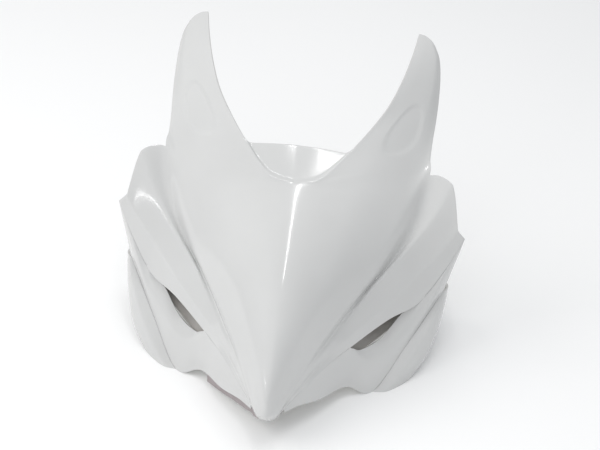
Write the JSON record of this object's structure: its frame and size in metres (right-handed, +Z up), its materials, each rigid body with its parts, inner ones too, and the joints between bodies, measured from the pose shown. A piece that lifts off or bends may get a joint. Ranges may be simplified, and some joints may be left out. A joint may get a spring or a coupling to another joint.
{
  "type": "motorcycle upper front fairing",
  "caption": "Bare white glass-fibre nose fairing with two horns beside the screen opening, intake slots, cheeks and stay bracket",
  "frame": {"origin": "middle of the bounding box's underside, on the surface that the cheeks stand on", "axes": "+Z up; the nose points along -Y and the horns rise towards +Y; +X is the rider's left"},
  "size_m": [0.476, 0.418, 0.41],
  "materials": {
    "gelcoat": "white polyester gelcoat, high gloss outside, raw glass-mat laminate inside",
    "duct_resin": "grey-brown moulded resin sleeve, matt",
    "rib_laminate": "raw glass-mat laminate over a foam core",
    "lip_laminate": "raw laminate, mauve-grey",
    "alloy": "brushed sheet",
    "steel": "zinc plated",
    "grommet_rubber": "moulded"
  },
  "bodies": {
    "root": {"nose_shell": "gelcoat", "left_scoop": "gelcoat", "right_scoop": "gelcoat", "left_cheek": "gelcoat", "right_cheek": "gelcoat", "chin_lip": "lip_laminate", "left_duct": "duct_resin", "right_duct": "duct_resin", "left_mirror_plate": "alloy", "right_mirror_plate": "alloy", "left_horn_rib": "rib_laminate", "right_horn_rib": "rib_laminate", "stay_bracket": "alloy", "left_stay_grommet": "grommet_rubber", "right_stay_grommet": "grommet_rubber", "left_stay_sleeve": "steel", "right_stay_sleeve": "steel", "left_side_tab": "alloy", "right_side_tab": "alloy", "left_tab_nut": "steel", "right_tab_nut": "steel"}
  },
  "joints": []
}
